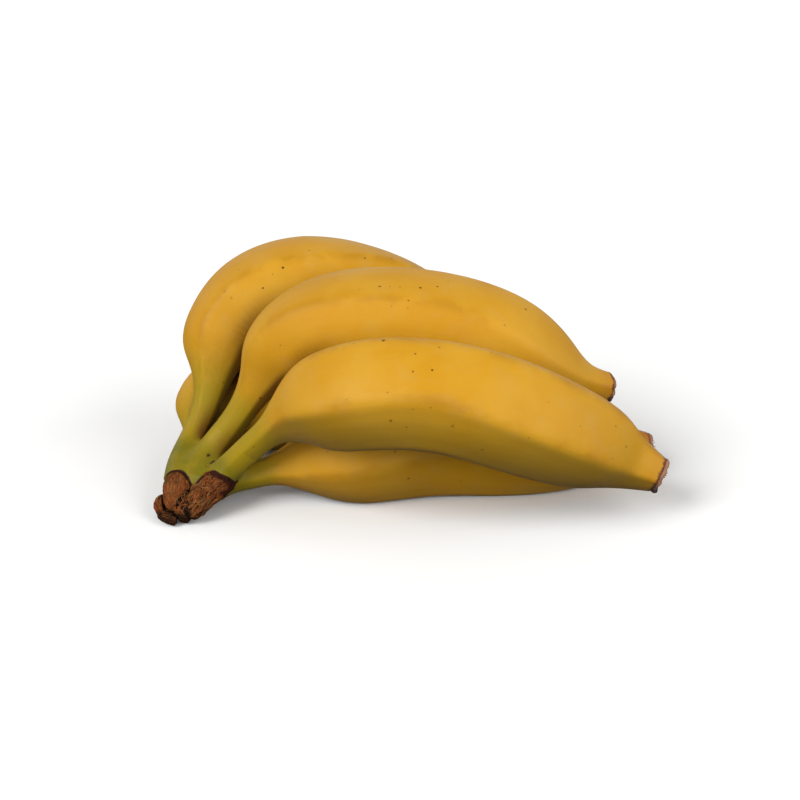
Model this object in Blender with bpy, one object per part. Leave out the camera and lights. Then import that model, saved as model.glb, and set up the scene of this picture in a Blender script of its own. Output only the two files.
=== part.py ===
"""A hand of five bananas grown together at a cut crown, lying on its two lower bananas.

The long side runs along X, +Y points away from the side shown in front and +Z is up.
The origin is in the middle of the footprint, on the surface that the hand lies on.
"""
import math

import bmesh
import bpy
import numpy as np

MM = 0.001

# Driving sizes, in millimetres
NODE_GAP = 0.35
FLOWER_END_DEPTH = 1.8

# Rings of a flower end: share of its depth, and inset in millimetres, from the banana's side to the hollow
FLOWER_END_RINGS = np.array([(0.0, 0.3), (0.35, 0.0), (0.8, 0.2), (1.0, 0.9), (0.55, 2.4)])

PAD_CORE_WIDTH = 1.6
CROWN_FRONT = np.array([0.0, -0.4, 0.9])

# Middle of the footprint in the stations' own coordinates; the third number beds the flat rests
FOOTPRINT = np.array([-1.2, -4.9, 0.6])

# The five-sided section, as shares of the radius
RIDGES = 5
RIDGE_DEPTH = 0.036
RIDGE_EDGE = 0.006
CUT_LUMPS = 0.08
FLOWER_LUMPS = 0.06

RINGS_PER_BANANA = 44
POINTS_PER_RING = 24
NECK_RINGS = 12
LOBE_RINGS = 12
LOBE_POINTS = 18
DENSE_STEPS = 240
SMOOTH_ANGLE = 35.0
RAGGED_ANGLE = 60.0

# Stations are x, y, z and radius in millimetres, from inside the crown to the flower end. in_pad is
# the length that belongs to the crown pad. ridge_turn turns the ridges, in degrees from the bulging side.
BANANAS = {
    "front": {
        "stations": [
            (-72, -27, 9.5, 4.6), (-69.8, -24.3, 12.8, 5.0), (-63.8, -24.3, 19.8, 4.8),
            (-58, -27, 26.3, 5.0), (-50.7, -30, 34, 5.7), (-42.7, -33.1, 41, 10), (-34, -36.6, 46.8, 15.4),
            (-22.8, -41.1, 51.6, 18.3), (-5.5, -44.8, 54.6, 18.9), (16.1, -46.6, 52.5, 19),
            (36.6, -43.9, 45.2, 19), (52.2, -38.8, 36.8, 17.9), (65.3, -32.8, 28.9, 15),
            (75.8, -30.1, 22.6, 10.5), (86.2, -30.8, 17.6, 6.6),
        ],
        "in_pad": 24.0,
        "ridge_turn": -17.0,
    },
    "middle": {
        "stations": [
            (-79, -24, 10.5, 4.8), (-77.5, -17.5, 13.5, 5.4), (-72.6, -11, 19.8, 5.5),
            (-66.4, -9.2, 27.8, 5.2), (-60.2, -7.7, 37.1, 6.0), (-55.2, -6.5, 45.6, 9.0),
            (-50.4, -5.5, 52.9, 13.4), (-39.8, -4.9, 59.9, 17.4), (-22.8, -5.1, 65.3, 18.4),
            (-1.3, -6.4, 66.2, 18.5), (19.4, -7.4, 62.1, 18.4), (35.8, -7.2, 55.6, 17.0),
            (50.1, -6.4, 48.0, 12.0), (60.5, -4.6, 42.5, 7.2), (69.9, -1.1, 38.9, 5.4),
        ],
        "in_pad": 26.0,
        "ridge_turn": 52.0,
    },
    "back": {
        "stations": [
            (-85.5, -22, 11, 5.0), (-84.6, -12.5, 14.5, 5.0), (-81.5, -3.1, 20.2, 4.6),
            (-78.1, 2.0, 26.8, 4.9), (-75.4, 7.2, 35.7, 6.4), (-74.0, 12.6, 43.9, 10.3),
            (-73.0, 16.2, 48.8, 13.2), (-70.1, 20.1, 54.2, 14.9), (-63.6, 24.6, 60, 17.1),
            (-49.5, 30.4, 65, 18.8), (-28.9, 33.8, 64.9, 18.8), (-8.9, 32.8, 59.4, 18.2),
            (7, 28.9, 53.2, 16.0), (20.4, 25.4, 47.6, 13.0), (31.2, 24.8, 42.2, 8.7),
            (41.1, 27.8, 34.5, 5.4),
        ],
        "in_pad": 28.0,
        "ridge_turn": 68.0,
    },
    "lower_front": {
        "stations": [
            (-73, -25, 8.5, 4.4), (-67, -20, 10, 4.8), (-58.8, -17.3, 11.2, 5.0),
            (-51.2, -16.4, 12.8, 5.8), (-42.2, -15.9, 14.7, 9.7), (-33.2, -15.2, 16.7, 14.9),
            (-24.3, -13.8, 18.3, 18), (-13.8, -11.2, 19.2, 19.1), (1.5, -7.2, 19.4, 19.3),
            (20, -4.8, 19.2, 19.3), (38.4, -4.7, 18.3, 18.6), (53.4, -2.7, 16.4, 16.5),
            (66.5, 2.1, 13.8, 13), (76.7, 6.5, 11.8, 8.8), (86.9, 9, 10.7, 5.6),
        ],
        "in_pad": 24.0,
        "ridge_turn": 14.0,
    },
    "lower_back": {
        "stations": [
            (-83.6, -20.4, 8.3, 4.5), (-85.2, -9, 9.2, 4.4), (-84.2, 3.8, 12.6, 4.0),
            (-82.4, 11.2, 15.8, 4.9), (-80.2, 18.8, 18.9, 10.6), (-75.8, 26.3, 20.9, 16.2),
            (-67.0, 30.2, 21.6, 18.1), (-55.0, 31.8, 20.4, 19.1), (-39.2, 34.0, 19.9, 19.3),
            (-18.8, 36.4, 19.1, 19.5), (1.5, 36.8, 18.5, 19), (18.1, 35.4, 17.4, 17.4),
            (33, 34.2, 15.1, 14.2), (44.7, 33.5, 13.1, 9.2), (56.8, 34.2, 12, 5.3),
        ],
        "in_pad": 29.0,
        "ridge_turn": 0.0,
    },
}

# The cushion where the necks meet, and the lumps of the brown cut; stations as above
PAD_CORE = [(-79, -25.5, 9.5, 4.6), (-77.5, -20, 11.8, 6.2), (-76.5, -14, 14, 5.6), (-75.5, -9, 16.5, 3.4)]
CUT_LOBES = {
    "left": [
        (-85.3, -22.5, 10.6, 4.4), (-85.2, -25.5, 10.6, 5.2), (-85, -29.5, 8.2, 5.1), (-84.6, -33, 5.4, 4.3),
    ],
    "right": [
        (-65.6, -23.2, 12.9, 2.3), (-68.4, -25.2, 12.2, 4.2), (-71.8, -27.6, 11.3, 5.1),
        (-75.0, -30.4, 9.2, 4.8), (-78, -33.5, 6.9, 4.5), (-80.6, -36.2, 4.6, 3.4),
    ],
    "middle": [
        (-79, -28, 7.4, 2.6), (-80.2, -30.4, 6.6, 4.3), (-81.6, -33.8, 5.2, 4.6), (-82.4, -36.6, 3.9, 3.3),
    ],
    "lip": [
        (-89, -27.5, 7.6, 1.3), (-91.5, -29, 6.6, 1.2), (-91.7, -31.5, 5.2, 1.4), (-90.4, -34.4, 3.6, 1.6),
        (-88, -36.8, 2.7, 1.8), (-85.2, -37.8, 2.4, 1.5),
    ],
    "web": [(-86.0, -27.5, 3.8, 2.6), (-88.4, -30.6, 3.2, 2.2), (-87.4, -34.0, 2.9, 2.0)],
}

MATERIALS = {
    "peel_yellow": ((0.76, 0.43, 0.04), 0.48),
    "peel_green": ((0.36, 0.33, 0.03), 0.5),
    "dried_cut": ((0.17, 0.07, 0.03), 0.9),
    "dried_flower": ((0.07, 0.03, 0.02), 0.92),
}


def clear_scene():
    for item in list(bpy.data.objects):
        bpy.data.objects.remove(item, do_unlink=True)


def make_material(name):
    colour, roughness = MATERIALS[name]
    material = bpy.data.materials.new(name)
    material.use_nodes = True
    shader = material.node_tree.nodes["Principled BSDF"]
    shader.inputs["Base Color"].default_value = (*colour, 1.0)
    shader.inputs["Roughness"].default_value = roughness
    return material


def unit(vectors):
    return vectors / np.linalg.norm(vectors, axis=-1, keepdims=True)


def knot_lengths(stations):
    points = np.array(stations, float)[:, :3]
    return np.r_[0.0, np.cumsum(np.linalg.norm(np.diff(points, axis=0), axis=1))]


def spline(stations, at):
    """Points, radii and directions of a natural cubic spline, at lengths along its stations."""
    points = np.array(stations, float)
    knots = knot_lengths(stations)
    steps = np.diff(knots)
    size = len(points)
    system = np.eye(size)
    right_side = np.zeros_like(points)
    for i in range(1, size - 1):
        system[i, i - 1] = steps[i - 1]
        system[i, i] = 2.0 * (steps[i - 1] + steps[i])
        system[i, i + 1] = steps[i]
        slope_after = (points[i + 1] - points[i]) / steps[i]
        slope_before = (points[i] - points[i - 1]) / steps[i - 1]
        right_side[i] = 6.0 * (slope_after - slope_before)
    bends = np.linalg.solve(system, right_side)
    piece = np.clip(np.searchsorted(knots, at, side="right") - 1, 0, size - 2)
    step = steps[piece][:, None]
    after = (at - knots[piece])[:, None]
    before = step - after
    values = (
        bends[piece] * before**3 / (6 * step)
        + bends[piece + 1] * after**3 / (6 * step)
        + (points[piece] / step - bends[piece] * step / 6) * before
        + (points[piece + 1] / step - bends[piece + 1] * step / 6) * after
    )
    rates = (
        (bends[piece + 1] * after**2 - bends[piece] * before**2) / (2 * step)
        + (points[piece + 1] - points[piece]) / step
        - (bends[piece + 1] - bends[piece]) * step / 6
    )
    return values[:, :3], values[:, 3], unit(rates[:, :3])


def bulging_side(stations):
    points = np.array(stations, float)[:, :3]
    middle = points[len(points) // 2]
    return unit(middle - (points[0] + points[-1]) / 2)


def frames(stations, at, side):
    """Directions square to the path at each length; the first faces side, carried along without twist."""
    dense = np.linspace(0.0, knot_lengths(stations)[-1], DENSE_STEPS)
    along = spline(stations, dense)[2]
    out = np.zeros_like(along)
    middle = DENSE_STEPS // 2
    out[middle] = unit(side - along[middle] * (along[middle] @ side))
    for order in (range(middle + 1, DENSE_STEPS), range(middle - 1, -1, -1)):
        step = order.step
        for i in order:
            carried = out[i - step]
            out[i] = unit(carried - along[i] * (along[i] @ carried))
    found = np.stack([np.interp(at, dense, out[:, axis]) for axis in range(3)], axis=-1)
    direction = spline(stations, at)[2]
    found = unit(found - direction * np.sum(direction * found, axis=1, keepdims=True))
    return found, np.cross(direction, found)


def ridged(count, turn):
    """Radius factor of the five-sided section at evenly spaced angles."""
    shifted = np.linspace(0.0, 2.0 * math.pi, count, endpoint=False) - math.radians(turn)
    return 1.0 + RIDGE_DEPTH * np.cos(RIDGES * shifted) + RIDGE_EDGE * np.cos(2 * RIDGES * shifted)


def swept_solid(name, points, out, side, reach, width=1.0):
    """Closed solid through rings of points; reach gives the radius for each ring and angle."""
    count = reach.shape[1]
    angles = np.linspace(0.0, 2.0 * math.pi, count, endpoint=False)
    rings = (
        points[:, None]
        + out[:, None] * (reach * np.cos(angles))[..., None]
        + side[:, None] * (reach * np.sin(angles) * width)[..., None]
    )
    vertices = [tuple(vertex) for vertex in ((rings - FOOTPRINT) * MM).reshape(-1, 3)]
    faces = []
    for i in range(len(points) - 1):
        for j in range(count):
            k = (j + 1) % count
            faces.append((i * count + j, i * count + k, (i + 1) * count + k, (i + 1) * count + j))
    for ring in (0, len(points) - 1):
        centre = len(vertices)
        vertices.append(tuple((points[ring] - FOOTPRINT) * MM))
        for j in range(count):
            faces.append((ring * count + j, ring * count + (j + 1) % count, centre))
    mesh = bpy.data.meshes.new(name)
    mesh.from_pydata(vertices, [], faces)
    shape = bmesh.new()
    shape.from_mesh(mesh)
    bmesh.ops.recalc_face_normals(shape, faces=shape.faces)
    shape.to_mesh(mesh)
    shape.free()
    item = bpy.data.objects.new(name, mesh)
    bpy.context.collection.objects.link(item)
    return item


def limb(name, data, first, last, rings, grow=0.0):
    """Part of a banana's path between two lengths, as a closed ridged solid."""
    at = np.linspace(first, last, rings)
    points, radii, _ = spline(data["stations"], at)
    out, side = frames(data["stations"], at, bulging_side(data["stations"]))
    reach = (radii + grow)[:, None] * ridged(POINTS_PER_RING, data["ridge_turn"])[None]
    return swept_solid(name, points, out, side, reach)


def lump(name, stations, grow=0.0, width=1.0, factor=1.0):
    at = np.linspace(-grow, knot_lengths(stations)[-1] + grow, LOBE_RINGS)
    points, radii, _ = spline(stations, at)
    out, side = frames(stations, at, CROWN_FRONT)
    reach = (radii + grow)[:, None] * factor * np.ones((LOBE_RINGS, LOBE_POINTS))
    return swept_solid(name, points, out, side, reach, width)


def finish(item, material, angle):
    item.data.materials.clear()
    item.data.materials.append(material)
    item.data.shade_smooth()
    item.data.set_sharp_from_angle(angle=math.radians(angle))
    return item


def combine(base, other, operation):
    """Boolean of two solids, kept in the first; the second is removed."""
    modifier = base.modifiers.new("combine", "BOOLEAN")
    modifier.operation = operation
    modifier.solver = "EXACT"
    modifier.object = other
    graph = bpy.context.evaluated_depsgraph_get()
    mesh = bpy.data.meshes.new_from_object(base.evaluated_get(graph))
    base.modifiers.clear()
    base.data = mesh
    bpy.data.objects.remove(other, do_unlink=True)
    return base


def rest_flat(item):
    """The lowest strip becomes a flat rest on the surface below."""
    for vertex in item.data.vertices:
        vertex.co.z = max(vertex.co.z, 0.0)


def make_banana(key, material):
    data = BANANAS[key]
    length = knot_lengths(data["stations"])[-1]
    item = limb("banana_" + key, data, data["in_pad"], length, RINGS_PER_BANANA)
    rest_flat(item)
    return finish(item, material, SMOOTH_ANGLE)


def make_flower_end(key, material, random):
    """Ragged dark disc with a sunken middle, just off the banana's end."""
    stations = BANANAS[key]["stations"]
    end = knot_lengths(stations)[-1:]
    points, radii, along = spline(stations, end)
    out, side = frames(stations, end, bulging_side(stations))
    rings = len(FLOWER_END_RINGS)
    steps = NODE_GAP + FLOWER_END_DEPTH * FLOWER_END_RINGS[:, 0]
    path = points[0] + along[0] * steps[:, None]
    ragged = 1.0 + random.uniform(-FLOWER_LUMPS, FLOWER_LUMPS, (rings, POINTS_PER_RING))
    ragged[0] = 1.0
    reach = (radii[0] - FLOWER_END_RINGS[:, 1])[:, None] * ragged
    outs = np.tile(out, (rings, 1))
    sides = np.tile(side, (rings, 1))
    item = swept_solid("flower_end_" + key, path, outs, sides, reach)
    return finish(item, material, RAGGED_ANGLE)


def pad_solid(name, grow):
    """The crown pad: the five necks up to where they part, and the cushion between them."""
    body = lump(name, PAD_CORE, grow, PAD_CORE_WIDTH)
    for key, data in BANANAS.items():
        neck = limb(name + "_" + key, data, -grow, data["in_pad"] - NODE_GAP, NECK_RINGS, grow)
        combine(body, neck, "UNION")
    return body


def main():
    clear_scene()
    random = np.random.default_rng(5)
    materials = {name: make_material(name) for name in MATERIALS}
    for key in BANANAS:
        make_banana(key, materials["peel_yellow"])
        make_flower_end(key, materials["dried_flower"], random)
    cut = None
    for key, stations in CUT_LOBES.items():
        ragged = 1.0 + random.uniform(-CUT_LUMPS, CUT_LUMPS, (LOBE_RINGS, LOBE_POINTS))
        lobe = lump("crown_cut_" + key, stations, factor=ragged)
        cut = lobe if cut is None else combine(cut, lobe, "UNION")
    cut.name = "crown_cut"
    combine(cut, pad_solid("pad_room", NODE_GAP), "DIFFERENCE")
    rest_flat(cut)
    finish(cut, materials["dried_cut"], RAGGED_ANGLE)
    finish(pad_solid("crown_pad", 0.0), materials["peel_green"], SMOOTH_ANGLE)


main()
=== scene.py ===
"""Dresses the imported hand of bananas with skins, crown and flower ends, and adds camera, light and floor.

Shapes are worked out in millimetres, in the coordinates of the stations, and become metres in the meshes.
"""
import math

import bmesh
import bpy
import numpy as np
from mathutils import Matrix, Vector, noise
from mathutils.bvhtree import BVHTree


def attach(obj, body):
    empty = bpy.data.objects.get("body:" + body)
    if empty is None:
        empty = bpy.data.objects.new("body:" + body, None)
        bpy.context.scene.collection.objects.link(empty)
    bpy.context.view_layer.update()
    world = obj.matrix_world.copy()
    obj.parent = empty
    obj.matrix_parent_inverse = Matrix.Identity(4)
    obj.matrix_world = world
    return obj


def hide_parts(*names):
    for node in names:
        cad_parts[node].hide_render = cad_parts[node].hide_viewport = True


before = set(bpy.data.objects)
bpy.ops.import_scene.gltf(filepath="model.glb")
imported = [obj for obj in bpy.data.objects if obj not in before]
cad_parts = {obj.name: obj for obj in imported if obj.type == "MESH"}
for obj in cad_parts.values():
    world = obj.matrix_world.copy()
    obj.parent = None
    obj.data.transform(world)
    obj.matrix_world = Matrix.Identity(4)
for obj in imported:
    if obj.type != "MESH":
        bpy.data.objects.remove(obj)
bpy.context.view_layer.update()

MM = 0.001

# Middle of the footprint in the stations' own coordinates
FOOTPRINT = np.array([-1.2, -4.9, 0.6])

# Shares of the radius for the five ridges: the wave itself and the two that sharpen its crests
RIDGES = 5
RIDGE_WAVES = (0.040, 0.009, 0.0025)
NECK_RIDGES = 0.8

# Slow unevenness of the section: its share of the radius, and the millimetres to a radian of its waves
SWELL = 0.005
SWELL_LENGTHS = (11.0, 6.3)

RINGS_PER_SKIN = 280
POINTS_PER_RING = 144
VOXEL = 0.38
CUT_VOXEL = 0.22
DENSE_STEPS = 240
SEED = 11

# The skin and the crown cross at a shallow groove, this deep and this far before the skin's own start
SEAM_DIP = 0.15
SEAM_LENGTH = 3.0

# How softly the crown's necks, and the cut's lobes, flow into each other
WEB_SOFTNESS = 0.9
CUT_SOFTNESS = 0.35

# How finely the nearest place on a path is sought, and how much a lump's ends are sharpened
NECK_STEP = 0.3
LUMP_STEPS = 40
LUMP_END_WEIGHT = 2.0

# Rough tubes, thicker than their paths, are drawn onto a surface in some smoothings and pulls
TUBE_STEPS = 24
TUBE_SIDES = 24
TUBE_GROWTH = 0.3
SMOOTHINGS = 3
PULLS = 5
PULL_SHARE = 0.85
PULL_LIMIT = 1.5

# How the peel rolls over its own end: length past the end, and share of the radius
END_ROLL = ((0.35, 0.96), (0.5, 0.86), (0.35, 0.70), (0.1, 0.35))

# Where the painted shade on the underside begins and is full, by how far the peel looks down, from 0 sideways
# to 1
UNDER_FADE = (-0.05, 0.45)

# Painted shade darkens the necks where they face each other: the lengths that count, the gap and the facing
# that begin and end it, and the lengths over which it fades
SLOT_LENGTHS = (10.0, 100.0, 1.5)
SLOT_GAP = (1.0, 11.0)
SLOT_FACING = (-0.05, 0.65)
SLOT_END = (62.0, 92.0)

# The crown's dark green fades between these lengths before the peel's start. Its rim is purple up to these
# distances from the cut
PAD_GREEN_ENDS = (16.0, 4.0)
PAD_RIM_GAP = (0.1, 0.9)

# The crown is at least this far from a flower end
FAR_FROM_TIP = 100.0

# Stations are x, y, z and radius in millimetres, from inside the crown to the flower end. in_pad is the
# length that belongs to the crown. ridge_turn turns the ridges, in degrees from the bulging side, and
# ridge_drift turns them further at some lengths. green has the lengths where the neck's green begins to
# fade and is gone. Three entries are strengths: under_shade of the painted shade, tinted olive, on the
# underside, slot_shade of the painted shade where the neck faces another, and tip_browning of the orange
# brown next to the flower end, which has a number of hairs.
BANANAS = {
    "front": {
        "stations": [
            (-72, -27, 9.5, 4.6), (-69.8, -24.3, 12.8, 5.0), (-63.8, -24.3, 19.8, 4.8),
            (-58, -27, 26.3, 5.0), (-50.7, -30, 34, 5.7), (-42.7, -33.1, 41, 10),
            (-34, -36.6, 46.8, 15.4), (-22.8, -41.1, 51.6, 18.3), (-5.5, -44.8, 54.6, 18.9),
            (16.1, -46.6, 52.5, 19), (36.6, -43.9, 45.2, 19), (52.2, -38.8, 36.8, 17.9),
            (65.3, -32.8, 28.9, 15), (75.8, -30.1, 22.6, 10.5), (86.2, -30.8, 17.6, 6.6),
        ],
        "in_pad": 24.0,
        "ridge_turn": -17.0,
        "ridge_drift": [(69, 1), (101, -6), (125, 4), (150, 8), (182, 18)],
        "green": (20.0, 58.0),
        "under_shade": 0.55,
        "slot_shade": 1.0,
        "tip_browning": 0.25,
        "hairs": 9,
    },
    "middle": {
        "stations": [
            (-79, -24, 10.5, 4.8), (-77.5, -17.5, 13.5, 5.4), (-72.6, -11, 19.8, 5.5),
            (-66.4, -9.2, 27.8, 5.2), (-60.2, -7.7, 37.1, 6.0), (-55.2, -6.5, 45.6, 9.0),
            (-50.4, -5.5, 52.9, 13.4), (-39.8, -4.9, 59.9, 17.4), (-22.8, -5.1, 65.3, 18.4),
            (-1.3, -6.4, 66.2, 18.5), (19.4, -7.4, 62.1, 18.4), (35.8, -7.2, 55.6, 17.0),
            (50.1, -6.4, 48.0, 12.0), (60.5, -4.6, 42.5, 7.2), (69.9, -1.1, 38.9, 5.4),
        ],
        "in_pad": 26.0,
        "ridge_turn": 52.0,
        "ridge_drift": [(60, -6), (85, -2), (105, 3), (122, 2), (153, 17), (170, 17)],
        "green": (24.0, 58.0),
        "under_shade": 0.1,
        "slot_shade": 1.0,
        "tip_browning": 0.30,
        "hairs": 9,
    },
    "back": {
        "stations": [
            (-85.5, -22, 11, 5.0), (-84.6, -12.5, 14.5, 5.0), (-81.5, -3.1, 20.2, 4.6),
            (-78.1, 2.0, 26.8, 4.9), (-75.4, 7.2, 35.7, 6.4), (-74.0, 12.6, 43.9, 10.3),
            (-73.0, 16.2, 48.8, 13.2), (-70.1, 20.1, 54.2, 14.9), (-63.6, 24.6, 60, 17.1),
            (-49.5, 30.4, 65, 18.8), (-28.9, 33.8, 64.9, 18.8), (-8.9, 32.8, 59.4, 18.2),
            (7, 28.9, 53.2, 16.0), (20.4, 25.4, 47.6, 13.0), (31.2, 24.8, 42.2, 8.7),
            (41.1, 27.8, 34.5, 5.4),
        ],
        "in_pad": 28.0,
        "ridge_turn": 68.0,
        "ridge_drift": [(60, -4), (100, 8), (113, 2), (130, -12)],
        "green": (30.0, 66.0),
        "under_shade": 0.1,
        "slot_shade": 1.0,
        "tip_browning": 0.5,
        "hairs": 9,
    },
    "lower_front": {
        "stations": [
            (-73, -25, 8.5, 4.4), (-67, -20, 10, 4.8), (-58.8, -17.3, 11.2, 5.0),
            (-51.2, -16.4, 12.8, 5.8), (-42.2, -15.9, 14.7, 9.7), (-33.2, -15.2, 16.7, 14.9),
            (-24.3, -13.8, 18.3, 18), (-13.8, -11.2, 19.2, 19.1), (1.5, -7.2, 19.4, 19.3),
            (20, -4.8, 19.2, 19.3), (38.4, -4.7, 18.3, 18.6), (53.4, -2.7, 16.4, 16.5),
            (66.5, 2.1, 13.8, 13), (76.7, 6.5, 11.8, 8.8), (86.9, 9, 10.7, 5.6),
        ],
        "in_pad": 24.0,
        "ridge_turn": 14.0,
        "ridge_drift": [(50, 6), (90, -4), (140, 5)],
        "green": (14.0, 36.0),
        "under_shade": 0.0,
        "slot_shade": 0.1,
        "tip_browning": 0.9,
        "hairs": 26,
    },
    "lower_back": {
        "stations": [
            (-83.6, -20.4, 8.3, 4.5), (-85.2, -9, 9.2, 4.4), (-84.2, 3.8, 12.6, 4.0),
            (-82.4, 11.2, 15.8, 4.9), (-80.2, 18.8, 18.9, 10.6), (-75.8, 26.3, 20.9, 16.2),
            (-67.0, 30.2, 21.6, 18.1), (-55.0, 31.8, 20.4, 19.1), (-39.2, 34.0, 19.9, 19.3),
            (-18.8, 36.4, 19.1, 19.5), (1.5, 36.8, 18.5, 19), (18.1, 35.4, 17.4, 17.4),
            (33, 34.2, 15.1, 14.2), (44.7, 33.5, 13.1, 9.2), (56.8, 34.2, 12, 5.3),
        ],
        "in_pad": 29.0,
        "ridge_turn": 0.0,
        "ridge_drift": [(60, -5), (110, 4), (150, -3)],
        "green": (26.0, 56.0),
        "under_shade": 0.1,
        "slot_shade": 1.0,
        "tip_browning": 0.6,
        "hairs": 14,
    },
}

# The cushion where the necks meet, and the lumps of the brown cut; stations as above
PAD_CORE = [(-79, -25.5, 9.5, 4.6), (-77.5, -20, 11.8, 6.2), (-76.5, -14, 14, 5.6), (-75.5, -9, 16.5, 3.4)]
PAD_CORE_WIDTH = 1.6
CROWN_FRONT = np.array([0.0, -0.4, 0.9])
CUT_LOBES = {
    "left": [
        (-85.3, -22.5, 10.6, 4.4), (-85.2, -25.5, 10.6, 5.2), (-85, -29.5, 8.2, 5.1),
        (-84.6, -33, 5.4, 4.3),
    ],
    "right": [
        (-65.6, -23.2, 12.9, 2.3), (-68.4, -25.2, 12.2, 4.2), (-71.8, -27.6, 11.3, 5.1),
        (-75.0, -30.4, 9.2, 4.8), (-78, -33.5, 6.9, 4.5), (-80.6, -36.2, 4.6, 3.4),
    ],
    "middle": [
        (-79, -28, 7.4, 2.6), (-80.2, -30.4, 6.6, 4.3), (-81.6, -33.8, 5.2, 4.6),
        (-82.4, -36.6, 3.9, 3.3),
    ],
    "lip": [
        (-89, -27.5, 7.6, 1.3), (-91.5, -29, 6.6, 1.2), (-91.7, -31.5, 5.2, 1.4),
        (-90.4, -34.4, 3.6, 1.6), (-88, -36.8, 2.7, 1.8), (-85.2, -37.8, 2.4, 1.5),
    ],
    "web": [(-86.0, -27.5, 3.8, 2.6), (-88.4, -30.6, 3.2, 2.2), (-87.4, -34.0, 2.9, 2.0)],
}

# The creases between the lobes, darkened with painted shade, and the dark raised rim next to the green crown
CREASE_WIDTH = 1.4
CREASE_DEPTH = 0.55
RIM_WIDTH = 1.8
RIM_HEIGHT = 0.15

# The darkened dip where the left and right lobes part
CUT_NOTCH = np.array([-79.1, -27.5, 10.5])
CUT_NOTCH_CORE = 2.4
CUT_NOTCH_RADIUS = 4.0

# Relief of the cut: lumps, then fibres and fine fibres with a scale along and one across, and each height
CUT_LUMP = (0.55, 0.40)
CUT_FIBRE = (0.3, 1.6, 0.42)
CUT_FINE = (0.8, 3.6, 0.22)
LEFT_ROUGHNESS = 0.45
CUT_PITS = 0.8

# Painted shade darkens the cut up to the first height over the floor, and no longer from the second
CUT_LOW = (1.5, 8.5)

# Fibres on a lobe: how many, the shares of its length where they start, their curl, steps and thickness
CUT_FIBRES = [
    ("right", 30, 0.35, 0.62, 1.0, 11, 0.10),
    ("right", 34, 0.40, 0.82, 0.08, 14, 0.075),
    ("middle", 30, 0.20, 0.80, 0.35, 12, 0.08),
    ("left", 24, 0.25, 0.80, 0.08, 13, 0.055),
    ("lip", 8, 0.25, 0.85, 0.35, 9, 0.06),
]

# Fibres start up to this angle, in radians, to either side of a lobe's front. Each step has a length, and
# turns and wobbles the heading; a fibre nearer to the floor than the gap is left out
FIBRE_SPREAD = 1.15
FIBRE_STEP = 0.5
FIBRE_TURN = 0.5
FIBRE_WOBBLE = 0.06
FIBRE_FLOOR_GAP = 0.9

# A strand's ends keep a little thickness because this is just over 1
STRAND_ENDS = 1.02
STRAND_SIDES = 6

# The flower end: share of the radius and height in millimetres, from the foot of its ring of scales over
# the crest into the hollow. Scales are what is higher than SCALE_FOOT; on the underside they are longer
FLOWER_PROFILE = [
    (0.80, -0.6), (0.93, 0.05), (0.96, 0.5), (0.93, 1.0), (0.88, 1.45), (0.82, 1.75), (0.74, 1.8),
    (0.66, 1.5), (0.58, 1.05), (0.48, 0.75), (0.36, 0.6), (0.24, 0.75), (0.12, 0.95),
]
FLOWER_SIDES = 90
FLOWER_RIDGES = 0.04
FLOWER_ROUGH = 0.09
FLOWER_FINE = 0.05
SCALE_FOOT = 0.9
SCALE_RAGGED = 3.5
SCALE_UNDER_LENGTH = 0.8
SCALE_UNDER_REACH = 0.1

# Hairs start at this share of the radius and this height, and have this many points
HAIR_RADIUS = 0.7
HAIR_HEIGHT = 1.2
HAIR_POINTS = 6

# Dark specks: length along the banana, degrees round it, radius in millimetres, and strength
MARKS = {
    "front": [
        (84, 343, 0.75, 1.0), (93, 0, 0.4, 0.9), (99, 348, 0.4, 0.8), (98, 18, 0.5, 1.0),
        (93, 22, 0.45, 0.8), (94, 336, 0.4, 0.5), (76, 344, 0.4, 0.5), (113, 342, 0.4, 0.5),
        (131, 22, 0.4, 0.4), (158, 16, 0.5, 0.5), (166, 34, 0.6, 0.6), (160, 55, 0.4, 0.5),
        (128, 64, 0.5, 0.4), (143, 34, 0.4, 0.4), (87, 76, 0.6, 0.7), (92, 84, 0.5, 0.6),
        (106, 74, 0.8, 0.4), (99, 57, 0.4, 0.5), (94, 61, 0.4, 0.4), (117, 97, 0.6, 0.5),
        (75, 50, 0.4, 0.4),
    ],
    "middle": [
        (100, 38, 0.5, 1.0), (106, 38, 0.4, 0.6), (112, 36, 0.55, 1.0), (117, 29, 0.5, 0.9),
        (109, 56, 0.4, 0.8), (103, 38, 0.35, 0.5), (120, 14, 0.5, 0.4), (104, 63, 0.4, 0.4),
        (109, 64, 0.4, 0.4), (94, 42, 0.4, 0.3), (139, 58, 0.4, 0.5), (145, 19, 0.6, 0.7),
        (43, 118, 0.55, 0.8),
    ],
    "back": [
        (90, 81, 0.55, 1.0), (81, 94, 0.5, 0.9), (118, 68, 0.5, 0.9), (127, 55, 0.4, 0.8),
        (86, 84, 0.4, 0.5), (78, 56, 0.45, 0.6), (100, 63, 0.5, 0.5), (71, 68, 0.7, 0.3),
        (71, 80, 0.6, 0.3), (116, 84, 0.5, 0.4),
    ],
    "lower_front": [(70, 109, 0.6, 0.8), (93, 121, 0.5, 0.4), (65, 74, 0.7, 0.4), (45, 59, 0.5, 0.4)],
    "lower_back": [(70, 300, 0.5, 0.7), (96, 275, 0.4, 0.5), (120, 320, 0.5, 0.6)],
}

# Dark blotches on the crown: x, y, z and radius in millimetres, and strength
CROWN_MARKS = [
    (-74.5, -18.7, 19.5, 0.8, 1.0), (-74.9, -19.2, 19.4, 0.5, 1.0), (-72.5, -21.0, 17.9, 0.8, 1.0),
    (-73.0, -21.8, 17.8, 0.75, 1.0), (-73.5, -22.3, 17.6, 0.5, 1.0), (-74.1, -23.7, 17.2, 0.3, 0.9),
    (-75.1, -23.5, 17.1, 0.3, 0.9),
]

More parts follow.
